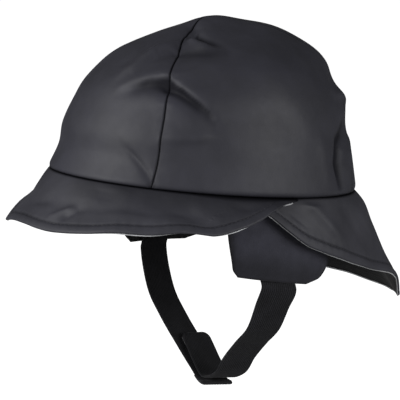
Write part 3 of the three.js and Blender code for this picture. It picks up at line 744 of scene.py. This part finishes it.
def neck_turns(across):
    return mix(NECK_START, 360 - NECK_START, across)


def front_brim(materials):
    section = cloth_section(-ALLOWANCE, 64, 30, 6, CLOTH)
    bm = swept_wall(400, section, brim_at, brim_turns, brim_size, BRIM_HEM, (330, 80))
    return piece("brim", bm, materials, ["front_brim"])


def neck_flap(materials):
    section = cloth_section(-ALLOWANCE, 92, 38, 6, CLOTH)
    bm = swept_wall(380, section, neck_at, neck_turns, neck_size, NECK_HEM, (360, 190))
    return piece("neck_cloth", bm, materials, ["neck_flap"])


def hem_piping(name, node, at, size, turns, peek, material):
    """A thin cord sewn under a hem. peek says how far it shows past the hem at each turn."""
    def place(across, up):
        turn = turns(mix(0.015, 0.985, across))
        length = np.hypot(*size(turn))
        shown = peek(turn)
        angle = 2 * np.pi * up
        radius = PIPING / 2
        hang = 1 + (shown + radius * np.sin(angle)) / np.maximum(length, 1)
        depth = CLOTH * thinning(length) + 0.05 - radius * 0.2 + radius * (1 + np.cos(angle)) * 0.5
        return at(turn, hang, depth)

    bm = bent_grid(420, 10, place, (400, 4))
    return piece(name, close_up(bm), [material], [node])


def puff(made, pins, pressure, most):
    """Lets a closed pad swell under pressure as cloth, and keeps each point within most of its start."""
    mesh = made.data
    before = np.empty(len(mesh.vertices) * 3)
    mesh.vertices.foreach_get("co", before)
    pinned = made.vertex_groups.new(name="sewn")
    for index, hold in enumerate(pins):
        pinned.add([index], hold, "REPLACE")
    cloth = made.modifiers.new("swell", "CLOTH")
    cloth.settings.vertex_group_mass = "sewn"
    cloth.settings.quality = 5
    cloth.settings.mass = 0.05
    cloth.settings.tension_stiffness = 12
    cloth.settings.compression_stiffness = 12
    cloth.settings.bending_stiffness = 0.4
    cloth.settings.use_pressure = True
    cloth.settings.uniform_pressure_force = pressure
    cloth.settings.effector_weights.gravity = 0
    for step in range(1, PAD_STEPS + 1):
        SCENE.frame_set(step)
    swollen = made.evaluated_get(bpy.context.evaluated_depsgraph_get()).to_mesh()
    after = np.empty_like(before)
    swollen.vertices.foreach_get("co", after)
    made.modifiers.remove(cloth)
    made.vertex_groups.remove(pinned)
    moved = (after - before).reshape(-1, 3)
    far = np.linalg.norm(moved, axis=1, keepdims=True)
    moved *= np.minimum(1, most / np.maximum(far, 1e-9))
    mesh.vertices.foreach_set("co", before + moved.ravel())
    mesh.update()
    SCENE.frame_set(1)


def ear_flap(side, materials):
    """Two faces of cloth over a thin pad, joined at a flat sewn edge all round."""
    name = "ear_pad_left" if side > 0 else "ear_pad_right"
    node = "ear_flap_left" if side > 0 else "ear_flap_right"

    def on_pad(around, up):
        face, across = both_sides(around)
        return face, uneven(across, 0.75), uneven(up, 0.6)

    def to_edge(across, up):
        sides = np.minimum(across, 1 - across) * FLAP_WIDTH
        return np.minimum(sides, np.minimum(up, 1 - up) * (FLAP_DROP + FLAP_TOP))

    def place(around, up):
        face, across, up = on_pad(around, up)
        edge = to_edge(across, up)
        lip = np.sqrt(np.clip(1 - (1 - np.clip(edge / 1.0, 0, 1)) ** 2, 0, 1))
        thick = 0.62 * lip + 0.38 * smooth_step(edge, 1.5, 7)
        point = flap_at(side, across, up, 0.5 - 0.5 * face * thick)
        point[:, 0] *= side
        return point

    def shade(around, up):
        face, across, up = on_pad(around, up)
        # painted shade: darker towards the sewn edges and towards the flap's lower part
        edges = 0.75 * (1 - smooth_step(to_edge(across, up), 0.5, 5.5))
        return np.maximum(edges, 0.55 * (1 - smooth_step(up, 0.08, 0.4)))

    both_faces = 150
    bm = bent_grid(112, 44, place, (both_faces, 60), shade)
    line_inside(bm, 0, both_faces / 2 * MM * 0.999)
    made = piece(name, close_up(bm), materials, [node])
    points = np.array([v.co for v in made.data.vertices]) / MM
    low = points[:, 2].min()
    # the hem, the top under the crown's edge and both ends hold still
    hem = 1 - smooth_step(points[:, 2] - low, 0, 5)
    top = smooth_step(points[:, 2], -8, 0)
    ends = np.maximum(smooth_step(points[:, 1], 44, 50), 1 - smooth_step(points[:, 1], -26, -20))
    puff(made, np.clip(np.maximum(np.maximum(hem, top), ends), 0, 1), PAD_PRESSURE, PAD_SWELL * MM)
    rounder = made.modifiers.new("rounder", "SUBSURF")
    rounder.levels = rounder.render_levels = 1
    return made


def elastic_strap(name, node, rows, material):
    """A ribbed strap. rows holds, for each place along it, the route length, its middle line's y, how
    far into the loop its middle lies, its width and its thickness."""
    rows = np.array(rows)
    steps = len(rows) - 1
    around_steps = 2 * STRAP_RIBS * 4

    def place(along, around):
        row = np.rint(along * steps).astype(int)
        at, middle, into, width, thick = rows[row].T
        face, across = both_sides(around)
        edge = np.clip(np.minimum(across, 1 - across) * width / 0.7, 0, 1)
        round_edge = np.sqrt(np.clip(1 - (1 - edge) ** 2, 0, 1))
        rib = RIB_DEPTH * (np.cos(2 * np.pi * STRAP_RIBS * across) - 1) * round_edge
        depth = face * (thick / 2 * (0.25 + 0.75 * round_edge) + rib)
        return strap_at(at, middle + (across - 0.5) * width, into + depth)

    def shade(along, around):
        # painted shade on the side that lies to the skin
        return np.where(around < 0.5, 0.5, 0.0)

    bm = bent_grid(steps, around_steps, place, (rows[-1][0] - rows[0][0], 2 * STRAP_WIDTH), shade)
    return piece(name, close_up(bm), [material], [node])


def left_middle(along):
    forward = STRAP_FORWARD * (1 - smooth_step(along, LOWEST * 0.6, LOWEST))
    return STRAP_MIDDLE - forward + TAB_SHIFT * smooth_step(along, LOWEST, LOWEST + TAB_LENGTH)


def right_middle(along):
    return STRAP_MIDDLE - mix(OVERLAP_FORWARD, RIGHT_FORWARD, smooth_step(along, LOWEST, ROUTE_LENGTH))


FASTENER_LAYER = -STRAP_THICK / 2 - SEAM_GAP


def right_layer(along):
    overlap = FASTENER_LAYER - FASTENER_THICK - SEAM_GAP
    return mix(overlap, STRAP_THICK / 2, smooth_step(along, LOWEST + TAB_LENGTH, ROUTE_LENGTH))


def left_strap(material):
    end = LOWEST + TAB_LENGTH
    corner = end - TAB_CORNER
    rows = []
    for along in [*np.linspace(-STRAP_SEWN, corner, 150), *np.linspace(corner, end, 14)[1:]]:
        beyond = max(0.0, along - corner)
        narrowed = TAB_CORNER - math.sqrt(max(0.0, TAB_CORNER ** 2 - beyond ** 2))
        rows.append((along, left_middle(along), 0, STRAP_WIDTH - 1.6 * narrowed, STRAP_THICK))
    return elastic_strap("strap_left", "chin_strap_left", rows, material)


def right_strap(material):
    start = LOWEST - STRAP_TAIL
    rows = []
    fold_radius = STRAP_THICK * 0.56
    under = right_layer(start) - STRAP_THICK / 2
    for along in np.linspace(start + HEM_LENGTH, start, 12):
        rows.append((along, right_middle(start), under - 2 * fold_radius, STRAP_WIDTH - 1, STRAP_THICK))
    for step in range(1, 8):
        angle = math.pi * step / 8
        along, into = start - fold_radius * math.sin(angle), under - fold_radius * (1 + math.cos(angle))
        rows.append((along, right_middle(start), into, STRAP_WIDTH - 0.6, STRAP_THICK))
    for along in np.linspace(start, ROUTE_LENGTH + STRAP_SEWN, 140):
        into = right_layer(along) - STRAP_THICK / 2
        rows.append((along, right_middle(along), into, STRAP_WIDTH, STRAP_THICK))
    return elastic_strap("strap_right", "chin_strap_right", rows, material)


def strap_fastener(material):
    start = LOWEST + FASTENER_MARGIN
    end = LOWEST + TAB_LENGTH - FASTENER_MARGIN
    width = STRAP_WIDTH - 2 * FASTENER_MARGIN - TAB_SHIFT

    def place(along, around):
        at = mix(start, end, along)
        face, across = both_sides(around)
        middle = (left_middle(at) + right_middle(at)) / 2
        into = FASTENER_LAYER - FASTENER_THICK / 2 + face * FASTENER_THICK / 2
        return strap_at(at, middle + (across - 0.5) * width, into)

    bm = bent_grid(40, 24, place, (end - start, width))
    return piece("fastener_tape", close_up(bm), [material], ["strap_fastener"])


def stitches(name, points, normals, spacing, material):
    """A row of thread stitches along points, lying on the cloth. All in millimetres."""
    steps = np.linalg.norm(np.diff(points, axis=0), axis=1)
    length = np.concatenate([[0], np.cumsum(steps)])
    bm = bmesh.new()
    for at in np.arange(spacing / 2, length[-1], spacing):
        middle, before, after, up = (
            np.array([np.interp(a, length, column[:, i]) for i in range(3)])
            for a, column in ((at, points), (at - 0.6, points), (at + 0.6, points), (at, normals)))
        ahead = Vector(after - before).normalized()
        up = Vector(up).normalized()
        aside = up.cross(ahead).normalized()
        up = ahead.cross(aside)
        turn = Matrix((ahead, aside, up)).transposed().to_4x4()
        size = Matrix.Diagonal((spacing * 0.36, 0.2, 0.16, 1))
        place = Matrix.Scale(MM, 4) @ Matrix.Translation(Vector(middle)) @ turn @ size
        bmesh.ops.create_uvsphere(bm, u_segments=6, v_segments=4, radius=1, matrix=place)
    for face in bm.faces:
        face.smooth = True
    return piece(name, bm, [material])


def hem_stitches(name, at, size, turns, hem, material):
    """A row of stitches along a hem, where the skirt is wide enough to have one."""
    turn = turns(np.linspace(0.03, 0.97, 300))
    length = np.hypot(*size(turn))
    turn = turn[length > 2 * hem]
    hang = 1 - hem / length[length > 2 * hem]
    on_cloth = at(turn, hang, 0.05)
    return stitches(name, on_cloth, unit(at(turn, hang, -1) - on_cloth), STITCH, material)


# Materials

def srgb(code):
    """A colour such as 3a3b42 as linear red, green and blue."""
    parts = [int(code[i:i + 2], 16) / 255 for i in (0, 2, 4)]
    return [p / 12.92 if p <= 0.04045 else ((p + 0.055) / 1.055) ** 2.4 for p in parts] + [1]


def add(tree, kind, inputs=None, **settings):
    """Adds a node with its settings; an input is a value or another node's output."""
    made = tree.nodes.new("ShaderNode" + kind)
    for name, value in settings.items():
        setattr(made, name, value)
    for name, value in (inputs or {}).items():
        if isinstance(value, bpy.types.NodeSocket):
            tree.links.new(value, made.inputs[name])
        else:
            made.inputs[name].default_value = value
    return made


def tones(ramp, *stops):
    """Sets a colour ramp's two colours and where they lie."""
    for element, (position, code) in zip(ramp.color_ramp.elements, stops):
        element.position = position
        element.color = srgb(code)


def new_material(name):
    """A new material, its empty tree and the place of each point on the object."""
    made = bpy.data.materials.new(name)
    made.use_nodes = True
    tree = made.node_tree
    tree.nodes.clear()
    return made, tree, add(tree, "TexCoord").outputs["Object"]


def finish(tree, shader):
    out = add(tree, "OutputMaterial")
    tree.links.new(shader.outputs[0], out.inputs[0])


def per_metre(millimetres):
    return 1000 / millimetres


def bands(millimetres):
    """The wave texture's scale for bands that far apart: it repeats every tau / 20 of its own unit."""
    return math.tau / 20 * per_metre(millimetres)


def polyurethane_coated_cloth(name, dark, light):
    """Stretch polyester with a matt polyurethane coat: smooth and slightly rubbery, so light spreads
    into wide soft highlights, with a faint print of the weave and faint scuffs in the gloss."""
    made, tree, here = new_material(name)
    cloth = add(tree, "UVMap", uv_map="cloth").outputs[0]
    clouds = add(tree, "TexNoise", {"Vector": here, "Scale": per_metre(28), "Detail": 4, "Roughness": 0.6})
    colour = add(tree, "ValToRGB", {"Fac": clouds.outputs["Fac"]})
    tones(colour, (0.3, dark), (0.75, light))
    # painted shade: deep in a seam, in a crease and under an edge the colour is darkened and the gloss
    # lowered, as the cloth lies in its own shadow there
    sewn = add(tree, "Attribute", attribute_name="sewn")
    shaded = add(tree, "Mix", {"Factor": sewn.outputs["Fac"], 6: colour.outputs[0], 7: srgb("08080a")},
                 data_type="RGBA")
    shine = add(tree, "MapRange", {"Value": sewn.outputs["Fac"], "From Max": 0.8,
                                   "To Min": 0.42, "To Max": 0.03})
    scuffs = add(tree, "TexNoise", {"Vector": here, "Scale": per_metre(6), "Detail": 6, "Roughness": 0.65})
    gloss = add(tree, "MapRange", {"Value": scuffs.outputs["Fac"], "To Min": 0.5, "To Max": 0.64})
    # the coat's own grain is about 0.2 mm; it is drawn at 0.7 mm so that it shows
    grain = add(tree, "TexNoise", {"Vector": here, "Scale": per_metre(0.7), "Detail": 2})
    # threads lie 0.35 mm apart; their print is drawn at 0.9 mm so that it shows
    weave = add(tree, "TexWave", {"Vector": cloth, "Scale": bands(0.9), "Distortion": 0.4})
    print_through = add(tree, "Bump", {"Height": weave.outputs["Fac"], "Strength": 0.03,
                                       "Distance": 0.1 * MM})
    skin = add(tree, "Bump", {"Height": grain.outputs["Fac"], "Strength": 0.12, "Distance": 0.12 * MM,
                              "Normal": print_through.outputs[0]})
    slack = add(tree, "TexNoise", {"Vector": here, "Scale": per_metre(9), "Detail": 3})
    soft = add(tree, "Bump", {"Height": slack.outputs["Fac"], "Strength": 0.25, "Distance": 0.8 * MM,
                              "Normal": skin.outputs[0]})
    finish(tree, add(tree, "BsdfPrincipled", {
        "Base Color": shaded.outputs[2], "Roughness": gloss.outputs[0], "IOR": 1.45,
        "Specular IOR Level": shine.outputs[0], "Normal": soft.outputs[0]}))
    return made


def woven_backing(name, dark, light):
    """The cloth's woven back: near black, matt, with a plain weave that catches a little light."""
    made, tree, here = new_material(name)
    cloth = add(tree, "UVMap", uv_map="cloth").outputs[0]
    # threads lie 0.4 mm apart; they are drawn at 1.1 mm so that they show
    warp = add(tree, "TexWave", {"Vector": cloth, "Scale": bands(1.1), "Distortion": 0.6,
                                 "Detail Scale": 3}, bands_direction="X")
    weft = add(tree, "TexWave", {"Vector": cloth, "Scale": bands(1.1), "Distortion": 0.6,
                                 "Detail Scale": 3}, bands_direction="Y")
    weave = add(tree, "Math", {0: warp.outputs["Fac"], 1: weft.outputs["Fac"]}, operation="MULTIPLY")
    tone = add(tree, "TexNoise", {"Vector": here, "Scale": per_metre(14), "Detail": 3})
    both = add(tree, "Math", {0: weave.outputs[0], 1: tone.outputs["Fac"]}, operation="MULTIPLY")
    colour = add(tree, "ValToRGB", {"Fac": both.outputs[0]})
    tones(colour, (0, dark), (0.6, light))
    bump = add(tree, "Bump", {"Height": weave.outputs[0], "Strength": 0.5, "Distance": 0.2 * MM})
    finish(tree, add(tree, "BsdfPrincipled", {
        "Base Color": colour.outputs[0], "Roughness": 0.9, "Sheen Weight": 0.15, "Sheen Roughness": 0.5,
        "Normal": bump.outputs[0]}))
    return made


def brushed_knit():
    """Brushed knit over a thin pad: matt, a little hairy, soft in the light, with painted shade darkening
    its sewn edges.
    """
    made, tree, here = new_material("brushed_knit")
    tone = add(tree, "TexNoise", {"Vector": here, "Scale": per_metre(16), "Detail": 5, "Roughness": 0.65})
    colour = add(tree, "ValToRGB", {"Fac": tone.outputs["Fac"]})
    tones(colour, (0.3, "303038"), (0.72, "3e3e48"))
    # painted shade from the attribute sewn: darker at the flap's edges and towards its lower part
    sewn = add(tree, "Attribute", attribute_name="sewn")
    shaded = add(tree, "Mix", {"Factor": sewn.outputs["Fac"], 6: colour.outputs[0], 7: srgb("0a0a0c")},
                 data_type="RGBA")
    # loops lie 0.5 mm apart and their nap is finer; both are drawn at 0.9 mm so that they show
    nap = add(tree, "TexNoise", {"Vector": here, "Scale": per_metre(0.9), "Detail": 3})
    bump = add(tree, "Bump", {"Height": nap.outputs["Fac"], "Strength": 0.35, "Distance": 0.25 * MM})
    finish(tree, add(tree, "BsdfPrincipled", {
        "Base Color": shaded.outputs[2], "Roughness": 0.82, "Specular IOR Level": 0.25,
        "Sheen Weight": 0.06, "Sheen Roughness": 0.5, "Normal": bump.outputs[0]}))
    return made


def braided_elastic():
    """Braided elastic: matt black yarn in lengthwise ribs, with the cross yarns as fine ticks."""
    made, tree, here = new_material("braided_elastic")
    cloth = add(tree, "UVMap", uv_map="cloth").outputs[0]
    tone = add(tree, "TexNoise", {"Vector": here, "Scale": per_metre(10), "Detail": 3})
    colour = add(tree, "ValToRGB", {"Fac": tone.outputs["Fac"]})
    tones(colour, (0.3, "1c1c20"), (0.7, "29292f"))
    # painted shade: the grooves between the ribs and the side that lies to the skin are darkened, as
    # little light reaches them
    rib = STRAP_WIDTH / STRAP_RIBS
    grooves = add(tree, "TexWave", {"Vector": cloth, "Scale": bands(rib)}, bands_direction="Y")
    ribbed = add(tree, "Mix", {"Factor": grooves.outputs["Fac"], 6: colour.outputs[0], 7: srgb("0c0c0e")},
                 data_type="RGBA")
    inner = add(tree, "Attribute", attribute_name="sewn")
    shaded = add(tree, "Mix", {"Factor": inner.outputs["Fac"], 6: ribbed.outputs[2], 7: srgb("060607")},
                 data_type="RGBA")
    # the cross yarns lie 0.5 mm apart; they are drawn at 0.8 mm so that they show
    ticks = add(tree, "TexWave", {"Vector": cloth, "Scale": bands(0.8), "Distortion": 2.5,
                                  "Detail": 3, "Detail Scale": 6}, bands_direction="X")
    bump = add(tree, "Bump", {"Height": ticks.outputs["Fac"], "Strength": 0.1, "Distance": 0.1 * MM})
    finish(tree, add(tree, "BsdfPrincipled", {
        "Base Color": shaded.outputs[2], "Roughness": 0.85, "Sheen Weight": 0.1, "Sheen Roughness": 0.4,
        "Specular IOR Level": 0.3, "Normal": bump.outputs[0]}))
    return made


def nylon_hook_tape():
    """Woven nylon hook-and-loop tape: black, matt, with a fine fuzz."""
    made, tree, here = new_material("nylon_hook_tape")
    fuzz = add(tree, "TexNoise", {"Vector": here, "Scale": per_metre(0.8), "Detail": 3})
    bump = add(tree, "Bump", {"Height": fuzz.outputs["Fac"], "Strength": 0.8, "Distance": 0.3 * MM})
    finish(tree, add(tree, "BsdfPrincipled", {
        "Base Color": srgb("141416"), "Roughness": 0.95, "Sheen Weight": 0.2, "Normal": bump.outputs[0]}))
    return made


def reflective_piping():
    """Glass-bead reflective tape round a cord: pale grey with a silky, slightly metallic gloss."""
    made, tree, here = new_material("reflective_piping")
    # the beads are 0.05 mm; their sparkle is drawn at 0.4 mm so that it shows
    beads = add(tree, "TexNoise", {"Vector": here, "Scale": per_metre(0.4), "Detail": 2})
    colour = add(tree, "ValToRGB", {"Fac": beads.outputs["Fac"]})
    tones(colour, (0, "9fa1a4"), (1, "dfe0e2"))
    finish(tree, add(tree, "BsdfPrincipled", {
        "Base Color": colour.outputs[0], "Roughness": 0.4, "Metallic": 0.15}))
    return made


def polyester_thread():
    """Filament sewing thread: dark, with a silky line of light along each stitch."""
    made, tree, here = new_material("polyester_thread")
    twist = add(tree, "TexNoise", {"Vector": here, "Scale": per_metre(0.5), "Detail": 2})
    colour = add(tree, "ValToRGB", {"Fac": twist.outputs["Fac"]})
    tones(colour, (0, "1f1f23"), (1, "34343a"))
    finish(tree, add(tree, "BsdfPrincipled", {"Base Color": colour.outputs[0], "Roughness": 0.45}))
    return made


# The pieces

coated = polyurethane_coated_cloth("polyurethane_coated_cloth", "2a2a30", "34343c")
# painted light: the brim and the neck flap take a lighter copy of the same coated cloth, standing in for
# more light on them than they get
painted_lighter_cloth = polyurethane_coated_cloth("painted_lighter_coated_cloth", "2f2f35", "3b3b42")
backing = woven_backing("woven_polyester_backing", "08080a", "141417")
flap_knit = brushed_knit()
elastic = braided_elastic()
tape = nylon_hook_tape()
shiny = reflective_piping()
thread = polyester_thread()

crown_cloth([coated, backing])
front_brim([painted_lighter_cloth, backing])
neck_flap([painted_lighter_cloth, backing])


def brim_peek(turn):
    """How far the piping shows past the brim's hem: it rolls out of sight but for a few stretches."""
    shown = -0.45 + 0.25 * np.sin(turn * 0.21)
    stretches = ((45, 11, 0.9), (72, 4.5, 0.7), (93.5, 2.4, 1.0), (-16, 7, 0.6), (-60, 14, 0.6))
    for middle, width, more in stretches:
        shown = shown + more * np.exp(-((turn - middle) / width) ** 2)
    return shown


def neck_peek(turn):
    return 0.35 + 0.12 * np.sin(turn * 0.17)


hem_piping("brim_edge_piping", "brim_piping", brim_at, brim_size, brim_turns, brim_peek, shiny)
hem_piping("neck_edge_piping", "neck_piping", neck_at, neck_size, neck_turns, neck_peek, shiny)
hem_stitches("brim_stitches", brim_at, brim_size, brim_turns, BRIM_HEM, thread)
hem_stitches("neck_stitches", neck_at, neck_size, neck_turns, NECK_HEM, thread)
ear_flap(1, [flap_knit, backing])
ear_flap(-1, [flap_knit, backing])
left_strap(elastic)
right_strap(elastic)
strap_fastener(tape)


# Camera, floor and light

CAMERA_TURN = math.radians(58)
CAMERA_LIFT = math.radians(11)
CAMERA_FAR = 1.0
FRAME_PIXELS = 400
FOCAL_PIXELS = 1670
AIM_RIGHT = -2.0 * MM
AIM_UP = -14.5 * MM
FLOOR_Z = -0.19

towards = Vector((math.sin(CAMERA_TURN) * math.cos(CAMERA_LIFT),
                  -math.cos(CAMERA_TURN) * math.cos(CAMERA_LIFT), math.sin(CAMERA_LIFT)))
rightwards = Vector((math.cos(CAMERA_TURN), math.sin(CAMERA_TURN), 0))
upwards = towards.cross(rightwards)
aim = rightwards * AIM_RIGHT + upwards * AIM_UP


def look_from(made, place, at):
    made.location = place
    made.rotation_euler = (place - at).to_track_quat("Z", "Y").to_euler()
    SCENE.collection.objects.link(made)
    return made


lens = bpy.data.cameras.new("camera")
lens.sensor_width = 36
lens.lens = FOCAL_PIXELS / FRAME_PIXELS * lens.sensor_width
lens.clip_start = 0.01
lens.clip_end = 50
SCENE.camera = look_from(bpy.data.objects.new("camera", lens), aim + towards * CAMERA_FAR, aim)


def soft_box(name, right, up, near, watts):
    """A softbox a metre square, placed by its distance right of, above and in front of the hat."""
    lamp = bpy.data.lights.new(name, "AREA")
    lamp.size = 1
    lamp.energy = watts
    place = rightwards * right + upwards * up + towards * near
    return look_from(bpy.data.objects.new(name, lamp), place, Vector((0, 0, 0)))


soft_box("key_light", -1.3, 0.45, 1.1, 23.8)
soft_box("high_light", -1.3, 1.0, 0.5, 8)
soft_box("right_light", 1.5, 0.1, 1.0, 19.2)

floor_bm = bmesh.new()
bmesh.ops.create_grid(floor_bm, x_segments=1, y_segments=1, size=9)
bmesh.ops.translate(floor_bm, verts=floor_bm.verts, vec=(0, 0, FLOOR_Z))
floor_mesh = bpy.data.meshes.new("floor")
floor_bm.to_mesh(floor_mesh)
floor_bm.free()
floor = bpy.data.objects.new("floor", floor_mesh)
SCENE.collection.objects.link(floor)
paper, paper_tree, _ = new_material("white_paper_sweep")
glow = add(paper_tree, "MapRange", {
    "Value": add(paper_tree, "LightPath").outputs["Is Camera Ray"], "To Min": 0.02, "To Max": 1.0})
finish(paper_tree, add(paper_tree, "BsdfPrincipled", {
    "Base Color": srgb("a0a0a0"), "Roughness": 0.9, "Emission Color": srgb("ffffff"),
    "Emission Strength": glow.outputs[0]}))
floor_mesh.materials.append(paper)

world = bpy.data.worlds.new("studio")
SCENE.world = world
world.use_nodes = True
world.node_tree.nodes.clear()
room = add(world.node_tree, "Background", {"Color": srgb("ffffff"), "Strength": 0.06})
white = add(world.node_tree, "Background", {"Color": srgb("ffffff"), "Strength": 1.0})
seen = add(world.node_tree, "LightPath")
blend = add(world.node_tree, "MixShader", {
    0: seen.outputs["Is Camera Ray"], 1: room.outputs[0], 2: white.outputs[0]})
add(world.node_tree, "OutputWorld", {"Surface": blend.outputs[0]})

SCENE.view_settings.view_transform = "Standard"
